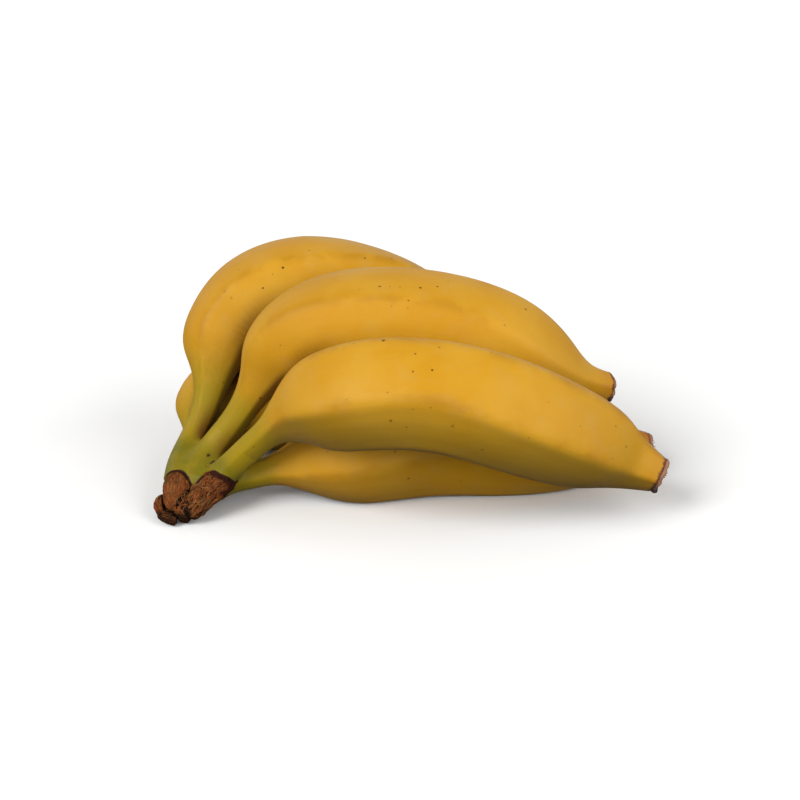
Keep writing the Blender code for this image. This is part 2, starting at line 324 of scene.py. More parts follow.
# Colours, linear
RIPE = (0.48, 0.250, 0.018)
DEEP = (0.45, 0.215, 0.007)
OCHRE = (0.44, 0.245, 0.05)
# Painted shade on the undersides, tinted olive
UNDER_SHADE_OLIVE = (0.20, 0.13, 0.008)
NECK_GREEN = (0.27, 0.19, 0.006)
PAD_GREEN = (0.135, 0.118, 0.006)
# Painted shade where necks face each other
SLOT_PAINTED_SHADE = (0.075, 0.012, 0.001)
SPECK_BROWN = (0.045, 0.02, 0.006)
SCUFF_BROWN = (0.20, 0.085, 0.012)
TIP_BROWN = (0.10, 0.032, 0.014)
TIP_ORANGE = (0.33, 0.115, 0.012)
RIM_PURPLE = (0.025, 0.007, 0.005)
CUT_RED = (0.165, 0.041, 0.010)
CUT_BROWN = (0.085, 0.031, 0.010)
# Dark pits of the cut, and painted shade in its hollows, folds and near the floor
CUT_PITS_AND_SHADE = (0.010, 0.005, 0.003)
CUT_TAN = (0.27, 0.12, 0.035)
ASH_PINK = (0.29, 0.135, 0.07)
FLOWER_BLACK = (0.010, 0.006, 0.005)
FLOOR_GREYS = ((0.88, 0.88, 0.88), (0.90, 0.90, 0.89))

# Most of a noise texture's values lie in this range
GRAIN_RANGE = (0.3, 0.7)

# The outline of a named speck is pushed about by up to half of this, in metres
BLOT_SHIFT = 0.0005


def unit(vectors):
    """Vectors with the length 1."""
    return vectors / np.linalg.norm(vectors, axis=-1, keepdims=True)


def fade(value, low, high):
    """Rises smoothly from 0 at low to 1 at high."""
    share = np.clip((value - low) / (high - low), 0.0, 1.0)
    return share * share * (3.0 - 2.0 * share)


def knot_lengths(stations):
    """Length along the straight lines between stations, at each of them."""
    points = np.array(stations, float)[:, :3]
    return np.r_[0.0, np.cumsum(np.linalg.norm(np.diff(points, axis=0), axis=1))]


def spline(stations, at):
    """Points, radii and directions of a natural cubic spline, at lengths along its stations."""
    points = np.array(stations, float)
    knots = knot_lengths(stations)
    steps = np.diff(knots)
    size = len(points)
    system = np.eye(size)
    right_side = np.zeros_like(points)
    for i in range(1, size - 1):
        system[i, i - 1] = steps[i - 1]
        system[i, i] = 2.0 * (steps[i - 1] + steps[i])
        system[i, i + 1] = steps[i]
        slope_after = (points[i + 1] - points[i]) / steps[i]
        slope_before = (points[i] - points[i - 1]) / steps[i - 1]
        right_side[i] = 6.0 * (slope_after - slope_before)
    bends = np.linalg.solve(system, right_side)
    piece = np.clip(np.searchsorted(knots, at, side="right") - 1, 0, size - 2)
    step = steps[piece][:, None]
    after = (at - knots[piece])[:, None]
    before = step - after
    values = (
        bends[piece] * before**3 / (6 * step)
        + bends[piece + 1] * after**3 / (6 * step)
        + (points[piece] / step - bends[piece] * step / 6) * before
        + (points[piece + 1] / step - bends[piece + 1] * step / 6) * after
    )
    rates = (
        (bends[piece + 1] * after**2 - bends[piece] * before**2) / (2 * step)
        + (points[piece + 1] - points[piece]) / step
        - (bends[piece + 1] - bends[piece]) * step / 6
    )
    return values[:, :3], values[:, 3], unit(rates[:, :3])


def bulging_side(stations):
    """Direction from the chord between a banana's ends to its middle."""
    points = np.array(stations, float)[:, :3]
    middle = points[len(points) // 2]
    return unit(middle - (points[0] + points[-1]) / 2)


def frames(stations, at, side):
    """Directions square to the path at each length; the first faces side, carried along without twist."""
    dense = np.linspace(0.0, knot_lengths(stations)[-1], DENSE_STEPS)
    along = spline(stations, dense)[2]
    out = np.zeros_like(along)
    middle = DENSE_STEPS // 2
    out[middle] = unit(side - along[middle] * (along[middle] @ side))
    for order in (range(middle + 1, DENSE_STEPS), range(middle - 1, -1, -1)):
        step = order.step
        for i in order:
            carried = out[i - step]
            out[i] = unit(carried - along[i] * (along[i] @ carried))
    found = np.stack([np.interp(at, dense, out[:, axis]) for axis in range(3)], axis=-1)
    direction = spline(stations, at)[2]
    found = unit(found - direction * np.sum(direction * found, axis=1, keepdims=True))
    return found, np.cross(direction, found)


def banana_length(data):
    """From inside the crown to the flower end."""
    return knot_lengths(data["stations"])[-1]


def banana_path(data, at):
    """Points, radii and directions along, out from and beside a banana, at some lengths."""
    stations = data["stations"]
    return (*spline(stations, at), *frames(stations, at, bulging_side(stations)))


def ridge_angle(data, at, angle):
    """Angle measured from a ridge, in radians."""
    lengths, degrees = np.array(data["ridge_drift"], float).T
    return angle - np.radians(data["ridge_turn"] + np.interp(at, lengths, degrees))


def section(data, at, angle):
    """Radius factor of the five-sided section."""
    near_crown = greenness(data, at)
    depth = 1.0 + (NECK_RIDGES - 1.0) * near_crown
    turned = ridge_angle(data, at, angle)
    wave = sum(share * np.cos((i + 1) * RIDGES * turned) for i, share in enumerate(RIDGE_WAVES))
    swell = np.sin(at / SWELL_LENGTHS[0] + 2.0 * angle + data["in_pad"])
    swell += np.sin(at / SWELL_LENGTHS[1] - 3.0 * angle)
    return 1.0 + depth * wave + SWELL * swell * (1.0 - near_crown)


def to_world(points):
    """Metres from the middle of the footprint, out of the stations' millimetres."""
    return (points - FOOTPRINT) * MM


def in_scene(name, data):
    """A new object of the scene, with this data."""
    item = bpy.data.objects.new(name, data)
    bpy.context.collection.objects.link(item)
    return item


def new_object(name, vertices, faces):
    mesh = bpy.data.meshes.new(name)
    mesh.from_pydata([tuple(vertex) for vertex in vertices], [], faces)
    return in_scene(name, mesh)


def angles_round(count):
    """Angles evenly round a ring."""
    return np.linspace(0.0, 2.0 * math.pi, count, endpoint=False)


def rings_round(points, out, across, reach, count, width=1.0):
    """Rings of points round a path; reach is their radius, and width widens them across."""
    angles = angles_round(count)
    return (
        points[:, None]
        + out[:, None] * (reach * np.cos(angles))[..., None]
        + across[:, None] * (reach * np.sin(angles) * width)[..., None]
    )


def tube_faces(rings, count):
    """Quads between rings of points, and one polygon at each end; faces look outwards."""
    faces = []
    for i in range(rings - 1):
        for j in range(count):
            k = (j + 1) % count
            start = i * count
            faces.append((start + j, start + k, start + count + k, start + count + j))
    faces.append(tuple(reversed(range(count))))
    faces.append(tuple((rings - 1) * count + j for j in range(count)))
    return faces


def merged(tubes):
    """Points and faces of several tubes as those of one mesh."""
    vertices = np.zeros((0, 3))
    faces = []
    for points, own in tubes:
        faces += [tuple(index + len(vertices) for index in face) for face in own]
        vertices = np.vstack([vertices, points])
    return vertices, faces


def set_attribute(item, name, values, kind="FLOAT"):
    """Keeps numbers on the vertices, for the materials to read."""
    attribute = item.data.attributes.new(name, kind, "POINT")
    field = "vector" if kind == "FLOAT_VECTOR" else "value"
    attribute.data.foreach_set(field, np.asarray(values, np.float32).ravel())


def vertex_array(mesh, field="co"):
    """Places of the vertices, or their normals."""
    values = np.empty(len(mesh.vertices) * 3, np.float32)
    mesh.vertices.foreach_get(field, values)
    return values.reshape(-1, 3).astype(float)


def ridge_crest(data, at, angle):
    """1 on the crest of a ridge, 0 away from it."""
    return np.clip(np.cos(RIDGES * ridge_angle(data, at, angle)), 0.0, 1.0) ** 6


def greenness(data, at):
    """1 near the crown, 0 past the green neck."""
    return 1.0 - fade(at, *data["green"])


def nearest_index(points, centres):
    """For each point, which of the centres is nearest."""
    squares = (points**2).sum(1)[:, None] - 2.0 * points @ centres.T + (centres**2).sum(1)[None]
    return squares.argmin(1)


def facing_shade(points, normals, key):
    """How closely each point faces another neck, from 0 to 1."""
    shade = np.zeros(len(points))
    for other, data in BANANAS.items():
        if other == key:
            continue
        centres, radii, _ = spline(data["stations"], np.arange(*SLOT_LENGTHS))
        near = nearest_index(points, centres)
        offset = centres[near] - points
        distance = np.linalg.norm(offset, axis=1)
        facing = np.sum(offset * normals, axis=1) / distance
        close = 1.0 - fade(distance - radii[near], *SLOT_GAP)
        shade = np.maximum(shade, close * fade(facing, *SLOT_FACING))
    return shade


def make_skin(key):
    """The peel of one banana, from under the crown's web to the flower end."""
    data = BANANAS[key]
    length = banana_length(data)
    at = np.linspace(data["in_pad"] - SEAM_LENGTH, length, RINGS_PER_SKIN)
    angles = angles_round(POINTS_PER_RING)
    points, radii, along, out, side = banana_path(data, at)
    dip = SEAM_DIP * (1.0 - fade(at, at[0], at[0] + SEAM_LENGTH))
    reach = (radii - dip)[:, None] * section(data, at[:, None], angles[None])
    # The peel rolls over its own end into a shallow hollow that the flower end fills
    last = RINGS_PER_SKIN - 1
    for step, share in END_ROLL:
        points = np.vstack([points, points[last] + along[last] * step])
        out = np.vstack([out, out[last]])
        side = np.vstack([side, side[last]])
        reach = np.vstack([reach, reach[last] * share])
        at = np.r_[at, length + step]
    world = to_world(rings_round(points, out, side, reach, POINTS_PER_RING)).reshape(-1, 3)
    world[:, 2] = np.maximum(world[:, 2], 0.0)
    item = new_object("peel_" + key, world, tube_faces(len(at), POINTS_PER_RING))
    grid_at, grid_angle = np.meshgrid(at, angles, indexing="ij")
    straight = np.stack([grid_at, reach * np.cos(angles), reach * np.sin(angles)], axis=-1) * MM
    set_attribute(item, "straight", straight, "FLOAT_VECTOR")
    set_attribute(item, "green", greenness(data, grid_at))
    set_attribute(item, "ridge", ridge_crest(data, grid_at, grid_angle))
    set_attribute(item, "to_tip", length - grid_at)
    for name in ("pad", "rim"):
        set_attribute(item, name, np.zeros_like(grid_at))
    normals = vertex_array(item.data, "normal")
    # Painted shade on the undersides, stronger the more the peel looks down
    set_attribute(item, "under", data["under_shade"] * fade(-normals[:, 2], *UNDER_FADE))
    # Painted shade where the neck faces another neck, fading out along the banana
    shade = facing_shade(world / MM + FOOTPRINT, normals, key)
    shade *= data["slot_shade"] * (1.0 - fade(grid_at.ravel(), *SLOT_END))
    set_attribute(item, "shade", shade)
    item.data.shade_smooth()
    item.data.materials.append(peel_material(key))
    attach(item, "root")
    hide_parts("banana_" + key)


def nearest_on_path(points, stations, at, side):
    """For each point: the path's length nearest to it, and its offset along, out from and beside the path."""
    centres, radii, along = spline(stations, at)
    out, across = frames(stations, at, side)
    near = nearest_index(points, centres)
    offset = points - centres[near]
    past = np.sum(offset * along[near], axis=1)
    return near, radii[near], past, np.sum(offset * out[near], axis=1), np.sum(offset * across[near], axis=1)


def neck_distance(points, data):
    """How far points are outside a neck, and the length along it; negative is inside."""
    stations = data["stations"]
    last = data["in_pad"]
    at = np.arange(0.0, last, NECK_STEP)
    near, radii, past, out, across = nearest_on_path(points, stations, at, bulging_side(stations))
    angle = np.arctan2(across, out)
    dip = SEAM_DIP * fade(at[near], last - SEAM_LENGTH, last)
    distance = np.hypot(out, across) - (radii - dip) * section(data, at[near], angle)
    ends = np.where(near == 0, -past, np.where(near == len(at) - 1, past, -np.inf))
    return np.maximum(distance, ends), at[near], angle


def lump_place(points, stations, width=1.0):
    """For points round a lump on a path: how far they are outside it, and their straightened places."""
    at = np.linspace(0.0, knot_lengths(stations)[-1], LUMP_STEPS)
    near, radii, past, out, across = nearest_on_path(points, stations, at, CROWN_FRONT)
    beyond = np.where((near == 0) | (near == len(at) - 1), LUMP_END_WEIGHT * past, 0.0)
    distance = np.sqrt(out**2 + (across / width) ** 2 + beyond**2) - radii
    return distance, np.stack([at[near], out, across], axis=-1)


def lump_distance(points, stations, width=1.0):
    """How far points are outside a lump, with soft ends; negative is inside."""
    return lump_place(points, stations, width)[0]


def soft_union(distances, softness):
    """Distance from several shapes that flow into each other."""
    stack = np.stack(distances)
    lowest = stack.min(axis=0)
    return lowest - softness * np.log(np.exp(-(stack - lowest) / softness).sum(axis=0))


def pad_distance(points):
    """How far points are outside the green crown; negative is inside."""
    parts = [neck_distance(points, data)[0] for data in BANANAS.values()]
    parts.append(lump_distance(points, PAD_CORE, PAD_CORE_WIDTH))
    return soft_union(parts, WEB_SOFTNESS)


def cut_distance(points):
    """How far points are outside the brown cut; negative is inside."""
    return soft_union([lump_distance(points, stations) for stations in CUT_LOBES.values()], CUT_SOFTNESS)


def path_tube(stations, last, side, width=1.0):
    """Points and faces of a rough closed tube round a path, up to the length last."""
    at = np.linspace(0.0, last, TUBE_STEPS)
    points, radii, _ = spline(stations, at)
    out, across = frames(stations, at, side)
    rings = rings_round(points, out, across, (radii + TUBE_GROWTH)[:, None], TUBE_SIDES, width)
    return rings.reshape(-1, 3), tube_faces(TUBE_STEPS, TUBE_SIDES)


def skin_over(name, tubes, distance, voxel):
    """One closed mesh over overlapping tubes, drawn onto the surface where distance is zero."""
    vertices, faces = merged(tubes)
    item = new_object(name, to_world(vertices), faces)
    modifier = item.modifiers.new("skin", "REMESH")
    modifier.mode = "VOXEL"
    modifier.voxel_size = voxel * MM
    graph = bpy.context.evaluated_depsgraph_get()
    mesh = bpy.data.meshes.new_from_object(item.evaluated_get(graph))
    item.modifiers.clear()
    item.data = mesh
    shape = bmesh.new()
    shape.from_mesh(mesh)
    for _ in range(SMOOTHINGS):
        bmesh.ops.smooth_vert(
            shape, verts=shape.verts, factor=0.5, use_axis_x=True, use_axis_y=True, use_axis_z=True
        )
    shape.to_mesh(mesh)
    shape.free()
    for _ in range(PULLS):
        points = vertex_array(mesh)
        normals = vertex_array(mesh, "normal")
        gap = distance(points / MM + FOOTPRINT)
        points -= normals * np.clip(gap, -PULL_LIMIT, PULL_LIMIT)[:, None] * PULL_SHARE * MM
        mesh.vertices.foreach_set("co", points.astype(np.float32).ravel())
        mesh.update()
    mesh.shade_smooth()
    return item


def make_pad():
    """The green crown where the five necks run together, with webs between them."""
    tubes = [path_tube(PAD_CORE, knot_lengths(PAD_CORE)[-1], CROWN_FRONT, PAD_CORE_WIDTH)]
    for data in BANANAS.values():
        side = bulging_side(data["stations"])
        tubes.append(path_tube(data["stations"], data["in_pad"], side))
    item = skin_over("crown_green", tubes, pad_distance, VOXEL)
    world = vertex_array(item.data)
    world[:, 2] = np.maximum(world[:, 2], 0.0)
    item.data.vertices.foreach_set("co", world.astype(np.float32).ravel())
    points = world / MM + FOOTPRINT
    found = [neck_distance(points, data) for data in BANANAS.values()]
    distances = np.stack([distance for distance, _, _ in found])
    weights = np.exp(-distances / WEB_SOFTNESS)
    weights /= weights.sum(axis=0)
    green, ridge, pad, shade = np.zeros((4, len(world)))
    for share, (_, at, angle), data in zip(weights, found, BANANAS.values()):
        green += share * greenness(data, at)
        ridge += share * ridge_crest(data, at, angle)
        ends = [data["in_pad"] - before for before in PAD_GREEN_ENDS]
        pad += share * (1.0 - fade(at, *ends))
    set_attribute(item, "straight", world, "FLOAT_VECTOR")
    set_attribute(item, "green", green)
    set_attribute(item, "ridge", ridge)
    set_attribute(item, "to_tip", np.full(len(world), FAR_FROM_TIP))
    set_attribute(item, "under", np.zeros(len(world)))
    normals = vertex_array(item.data, "normal")
    nearest = distances.argmin(axis=0)
    # Painted shade where a neck faces another, taken from the nearest neck
    for i, key in enumerate(BANANAS):
        own_shade = facing_shade(points, normals, key) * BANANAS[key]["slot_shade"]
        shade = np.where(nearest == i, own_shade, shade)
    set_attribute(item, "shade", shade * (1.0 - pad))
    set_attribute(item, "pad", pad)
    set_attribute(item, "rim", 1.0 - fade(cut_distance(points), *PAD_RIM_GAP))
    item.data.materials.append(peel_material("crown"))
    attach(item, "root")
    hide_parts("crown_pad")


def make_cut():
    """The dried brown cut: torn lumps whose faces are ridged by fibres, with folds between them that get
    painted shade.
    """
    tubes = []
    for stations in CUT_LOBES.values():
        tubes.append(path_tube(stations, knot_lengths(stations)[-1], CROWN_FRONT))
    item = skin_over("crown_dried", tubes, cut_distance, CUT_VOXEL)
    world = vertex_array(item.data)
    normals = vertex_array(item.data, "normal")
    points = world / MM + FOOTPRINT
    places = [lump_place(points, stations) for stations in CUT_LOBES.values()]
    distances = np.stack([distance for distance, _ in places])
    nearest = distances.argmin(axis=0)
    straight = np.stack([place for _, place in places])[nearest, np.arange(len(points))]
    lowest, second = np.sort(distances, axis=0)[:2]
    crease = 1.0 - fade(second - lowest, 0.0, CREASE_WIDTH)
    # The web behind the lobes gets the same painted shade as a crease
    crease = np.maximum(crease, nearest == list(CUT_LOBES).index("web"))
    rim = 1.0 - fade(pad_distance(points), RIM_WIDTH / 2, RIM_WIDTH)
    from_notch = np.linalg.norm(points - CUT_NOTCH, axis=1)
    rim = np.maximum(rim, 1.0 - fade(from_notch, CUT_NOTCH_CORE, CUT_NOTCH_RADIUS))
    roughness = np.where(nearest == list(CUT_LOBES).index("left"), LEFT_ROUGHNESS, 1.0)
    lift = np.empty(len(world))
    for i, (along, out, across) in enumerate(straight):
        lift[i] = CUT_LUMP[1] * noise.noise(Vector(points[i]) * CUT_LUMP[0])
        for lengthwise, crosswise, height in (CUT_FIBRE, CUT_FINE):
            spot = Vector((along * lengthwise, out * crosswise, across * crosswise))
            lift[i] += height * noise.noise(spot)
    lift = lift * roughness - CREASE_DEPTH * crease + RIM_HEIGHT * rim
    world += normals * lift[:, None] * MM
    world[:, 2] = np.maximum(world[:, 2], 0.0)
    item.data.vertices.foreach_set("co", world.astype(np.float32).ravel())
    item.data.update()
    set_attribute(item, "straight", straight * MM, "FLOAT_VECTOR")
    set_attribute(item, "lift", lift)
    set_attribute(item, "crease", crease)
    set_attribute(item, "rim", rim)
    set_attribute(item, "pitted", CUT_PITS * roughness)
    set_attribute(item, "low", 1.0 - fade(points[:, 2] - FOOTPRINT[2], *CUT_LOW))
    item.data.materials.append(cut_material())
    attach(item, "root")
    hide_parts("crown_cut")
    return item


def strand(points, radius):
    """Points and faces of a thin strand that tapers to both ends."""
    points = np.array(points)
    count = len(points)
    along = unit(np.gradient(points, axis=0))
    out = np.zeros_like(points)
    # Any direction across the strand will do
    carried = unit(np.cross(along[0], (0.3, 0.5, 0.8)))
    for i in range(count):
        carried = unit(carried - along[i] * (along[i] @ carried))
        out[i] = carried
    across = np.cross(along, out)
    share = np.linspace(-1.0, 1.0, count)
    reach = radius * np.sqrt(STRAND_ENDS - share**2)[:, None]
    rings = rings_round(points, out, across, reach, STRAND_SIDES)
    return rings.reshape(-1, 3), tube_faces(count, STRAND_SIDES)


def make_strands(name, strands, material):
    """One piece out of many strands."""
    vertices, faces = merged(strands)
    item = new_object(name, to_world(vertices), faces)
    item.data.shade_smooth()
    item.data.materials.append(material)
    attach(item, "root")


def make_fibres(cut, random):
    """Loose dry fibres over the cut, some curly and some in straight bundles along the lobes."""
    shape = bmesh.new()
    shape.from_mesh(cut.data)
    surface = BVHTree.FromBMesh(shape)
    shape.free()
    strands = []
    for lobe, count, first, last, curl, steps, thickness in CUT_FIBRES:
        path = CUT_LOBES[lobe]
        length = knot_lengths(path)[-1]
        for _ in range(count):
            at = np.array([random.uniform(first, last) * length])
            start, radius, along = spline(path, at)
            out, across = frames(path, at, CROWN_FRONT)
            angle = random.uniform(-FIBRE_SPREAD, FIBRE_SPREAD)
            point = start[0] + radius[0] * (out[0] * math.cos(angle) + across[0] * math.sin(angle))
            # A curlier fibre strays more from the lobe's own direction and rises more
            heading = unit(along[0] + (0.15 + 0.8 * curl) * random.normal(size=3))
            turning = random.normal(size=3) * curl
            rise = random.uniform(-0.03, 0.05 + 0.15 * curl)
            points = []
            for _ in range(int(steps * random.uniform(0.7, 1.3))):
                place, normal, _, _ = surface.find_nearest(Vector(to_world(point)))
                normal = np.array(normal)
                point = np.array(place) / MM + FOOTPRINT + normal * rise
                points.append(point)
                turned = heading + np.cross(turning, heading) * FIBRE_TURN
                heading = unit(turned + FIBRE_WOBBLE * random.normal(size=3))
                heading = unit(heading - normal * (heading @ normal))
                rise += random.uniform(-0.04, 0.05 + 0.04 * curl)
                point = point + heading * FIBRE_STEP
            if min(point[2] for point in points) > FIBRE_FLOOR_GAP:
                strands.append(strand(points, thickness * random.uniform(0.7, 1.3)))
    make_strands("crown_fibres", strands, fibre_material())


def make_flower_end(key, random):
    """The dried flower scar: a ragged ring of scales round a dark hollow, with a few hairs."""
    data = BANANAS[key]
    points, radii, along, out, side = banana_path(data, np.array([banana_length(data)]))
    radius = radii[0]
    angles = angles_round(FLOWER_SIDES)
    rings = []
    unders = []
    for share, height in FLOWER_PROFILE:
        ring = []
        for angle in angles:
            spot = Vector((math.cos(angle) * 2.2, math.sin(angle) * 2.2, share * 4.0 + data["ridge_turn"]))
            rough = noise.noise(spot) * FLOWER_ROUGH + noise.noise(spot * 3.0) * FLOWER_FINE
            five = FLOWER_RIDGES * math.cos(RIDGES * (angle - math.radians(data["ridge_turn"])))
            reach = radius * share * (1.0 + five + rough)
            away = out[0] * math.cos(angle) + side[0] * math.sin(angle)
            under = max(0.0, -away[2])
            tall = height
            if height > SCALE_FOOT:
                tall += SCALE_RAGGED * height * rough + SCALE_UNDER_LENGTH * under
                reach *= 1.0 + SCALE_UNDER_REACH * under
            ring.append(points[0] + along[0] * tall + away * reach)
            unders.append(under)
        rings.append(ring)
    world = to_world(np.array(rings)).reshape(-1, 3)
    item = new_object("flower_scar_" + key, world, tube_faces(len(FLOWER_PROFILE), FLOWER_SIDES))
    heights = np.repeat([height for _, height in FLOWER_PROFILE], FLOWER_SIDES)
    shares = np.repeat([share for share, _ in FLOWER_PROFILE], FLOWER_SIDES)
    set_attribute(item, "height", heights)
    set_attribute(item, "share", shares)
    set_attribute(item, "under", unders)
    item.data.shade_smooth()
    item.data.materials.append(flower_material())
    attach(item, "root")
    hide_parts("flower_end_" + key)
    strands = []
    for _ in range(data["hairs"]):
        angle = random.uniform(0.0, 2.0 * math.pi)
        away = out[0] * math.cos(angle) + side[0] * math.sin(angle)
        point = points[0] + radius * HAIR_RADIUS * away + along[0] * HAIR_HEIGHT
        heading = unit(along[0] * 0.8 + random.normal(size=3) * 0.6)
        path = []
        for _ in range(HAIR_POINTS):
            path.append(point)
            heading = unit(heading + 0.35 * random.normal(size=3))
            point = point + heading * random.uniform(0.25, 0.45)
        strands.append(strand(path, random.uniform(0.08, 0.16)))
    make_strands("flower_hairs_" + key, strands, hair_material())


def set_inputs(tree, node, inputs):
    """Gives a node's inputs, by name or number, their numbers, colours or sockets of other nodes."""
    for name, value in inputs.items():
        socket = node.inputs[name]
        if isinstance(value, bpy.types.NodeSocket):
            tree.links.new(value, socket)
        elif isinstance(value, tuple) and len(socket.default_value) == 4:
            socket.default_value = (*value, 1.0)
        else:
            socket.default_value = value


def add(tree, kind, inputs=None, **settings):
    """Adds a shader node with these inputs and settings."""
    node = tree.nodes.new("ShaderNode" + kind)
    for name, value in settings.items():
        setattr(node, name, value)
    set_inputs(tree, node, inputs or {})
    return node


def combine(tree, operation, *values):
    """One Math node; each value is a number or a socket."""
    return add(tree, "Math", dict(enumerate(values)), operation=operation).outputs[0]


def ramp(tree, value, low, high, first=0.0, last=1.0):
    """Carries a value smoothly from first, at low, to last, at high."""
    inputs = {"Value": value, "From Min": low, "From Max": high, "To Min": first, "To Max": last}
    return add(tree, "MapRange", inputs, interpolation_type="SMOOTHSTEP").outputs["Result"]


def blend(tree, share, first, last):
    """Mixes two colours; share is a number or a socket."""
    return add(tree, "Mix", {0: share, 6: first, 7: last}, data_type="RGBA").outputs[2]


def grain(tree, vector, scale, detail=3.0, roughness=0.55):
    """Noise between 0 and 1, mostly inside GRAIN_RANGE; a larger scale is finer."""
    inputs = {"Vector": vector, "Scale": scale, "Detail": detail, "Roughness": roughness}
    return add(tree, "TexNoise", inputs).outputs["Fac"]


def stretched(tree, vector, scale):
    """A vector with each part multiplied by its own factor."""
    return add(tree, "VectorMath", {0: vector, 1: scale}, operation="MULTIPLY").outputs[0]


def bumps(tree, height, strength, distance):
    return add(tree, "Bump", {"Height": height, "Strength": strength, "Distance": distance}).outputs[0]


def kept(tree, name, output="Fac"):
    """What set_attribute kept on the vertices under this name."""
    return add(tree, "Attribute", attribute_name=name).outputs[output]


def ragged(tree, name, texture, amount):
    """A kept value whose edges are made uneven, by up to this amount, with a texture."""
    return combine(tree, "ADD", kept(tree, name), ramp(tree, texture, *GRAIN_RANGE, -amount, amount))


def new_material(name):
    """A material, its node tree and main shader, and the place on its object."""
    material = bpy.data.materials.new(name)
    material.use_nodes = True
    tree = material.node_tree
    place = add(tree, "TexCoord").outputs["Object"]
    return material, tree, tree.nodes["Principled BSDF"], place


def mark_places(key):
    """World place, radius and strength of each mark on one banana, or on the crown."""
    if key == "crown":
        return [(to_world(np.array(mark[:3])), mark[3] * MM, mark[4]) for mark in CROWN_MARKS]
    places = []
    for at, degrees, radius, strength in MARKS[key]:
        points, radii, _, out, side = banana_path(BANANAS[key], np.array([at], float))
        angle = math.radians(degrees)
        reach = radii[0] * section(BANANAS[key], at, angle)
        place = points[0] + reach * (out[0] * math.cos(angle) + side[0] * math.sin(angle))
        places.append((to_world(place), radius * MM, strength))
    return places


def peel_material(key):
    """Ripe peel: mottled yellow, green towards the crown, brown at the tip, with specks and scuffs, and
    painted shade on the undersides and where necks face each other.
    """
    material, tree, shader, place = new_material("skin_" + key)
    straight = kept(tree, "straight", "Vector")
    lengthwise = stretched(tree, straight, (0.09, 1.0, 1.0))
    mottle = grain(tree, place, 45.0, 4.0)
    patches = grain(tree, place, 120.0, 3.0)
    streaks = grain(tree, lengthwise, 700.0, 4.0, 0.6)
    fine = grain(tree, place, 1400.0, 2.0)

    colour = blend(tree, ramp(tree, mottle, 0.35, 0.65, 0.1, 0.9), RIPE, DEEP)
    colour = blend(tree, ramp(tree, patches, 0.5, 0.75, 0.0, 0.25), colour, OCHRE)
    colour = blend(tree, ramp(tree, streaks, 0.55, 0.8, 0.0, 0.25), colour, OCHRE)

    # Green runs up the necks, further along the streaks
    green = ragged(tree, "green", streaks, 0.10)
    colour = blend(tree, ramp(tree, green, 0.12, 0.95, 0.0, 0.92), colour, NECK_GREEN)
    pad = combine(tree, "MULTIPLY", kept(tree, "pad"), ramp(tree, patches, *GRAIN_RANGE, 0.55, 1.0))
    colour = blend(tree, pad, colour, PAD_GREEN)

    # Painted shade, tinted olive, on the undersides
    colour = blend(tree, kept(tree, "under"), colour, UNDER_SHADE_OLIVE)

    # Painted shade where necks face each other
    colour = blend(tree, combine(tree, "MULTIPLY", kept(tree, "shade"), 0.9), colour, SLOT_PAINTED_SHADE)

    # Ridge crests are rubbed a little brown, in stretches
    rubbed = combine(tree, "MULTIPLY", kept(tree, "ridge"), ramp(tree, mottle, 0.42, 0.62))
    colour = blend(tree, combine(tree, "MULTIPLY", rubbed, 0.30), colour, SCUFF_BROWN)

    # Small freckles, one to a cell and only in some cells
    cells = add(tree, "TexVoronoi", {"Vector": place, "Scale": 130.0})
    chance = add(tree, "SeparateColor", {"Color": cells.outputs["Color"]}).outputs["Red"]
    lucky = ramp(tree, chance, 0.72, 0.78)
    freckle = combine(tree, "MULTIPLY", ramp(tree, cells.outputs["Distance"], 0.03, 0.06, 1.0, 0.0), lucky)
    colour = blend(tree, combine(tree, "MULTIPLY", freckle, 0.6), colour, SPECK_BROWN)

    # Named specks, each a small uneven blot
    shift = add(tree, "TexNoise", {"Vector": place, "Scale": 1500.0}).outputs["Color"]
    uneven = stretched(tree, shift, (BLOT_SHIFT,) * 3)
    blotted = add(tree, "VectorMath", {0: place, 1: uneven}, operation="ADD").outputs[0]
    spots = 0.0
    for centre, radius, strength in mark_places(key):
        shifted = tuple(float(value) + BLOT_SHIFT / 2 for value in centre)
        away = add(tree, "VectorMath", {0: blotted, 1: shifted}, operation="DISTANCE").outputs["Value"]
        spots = combine(tree, "MAXIMUM", spots, ramp(tree, away, radius * 0.45, radius * 1.10, strength, 0.0))
    colour = blend(tree, spots, colour, SPECK_BROWN)

    # Browning towards the flower end and along the crown's cut
    to_tip = ragged(tree, "to_tip", streaks, 0.5)
    tip_browning = BANANAS[key]["tip_browning"] if key in BANANAS else 0.0
    colour = blend(tree, ramp(tree, to_tip, 1.0, 8.0, tip_browning, 0.0), colour, TIP_ORANGE)
    colour = blend(tree, ramp(tree, to_tip, 0.0, 0.9, 0.95, 0.0), colour, TIP_BROWN)
    rim = ragged(tree, "rim", patches, 0.15)
    colour = blend(tree, ramp(tree, rim, 0.25, 0.7), colour, RIM_PURPLE)

    relief = combine(tree, "MULTIPLY_ADD", fine, 0.25, combine(tree, "MULTIPLY_ADD", streaks, 0.6, patches))
    inputs = {
        "Base Color": colour,
        "Roughness": ramp(tree, streaks, *GRAIN_RANGE, 0.40, 0.52),
        "Specular IOR Level": 0.10,
        "Sheen Weight": 0.05,
        "Sheen Roughness": 0.45,
        "Subsurface Weight": 0.08,
        "Subsurface Radius": (1.0, 0.5, 0.15),
        "Subsurface Scale": 0.0025,
        "Normal": bumps(tree, relief, 0.22, 0.0006),
    }
    set_inputs(tree, shader, inputs)
    return material


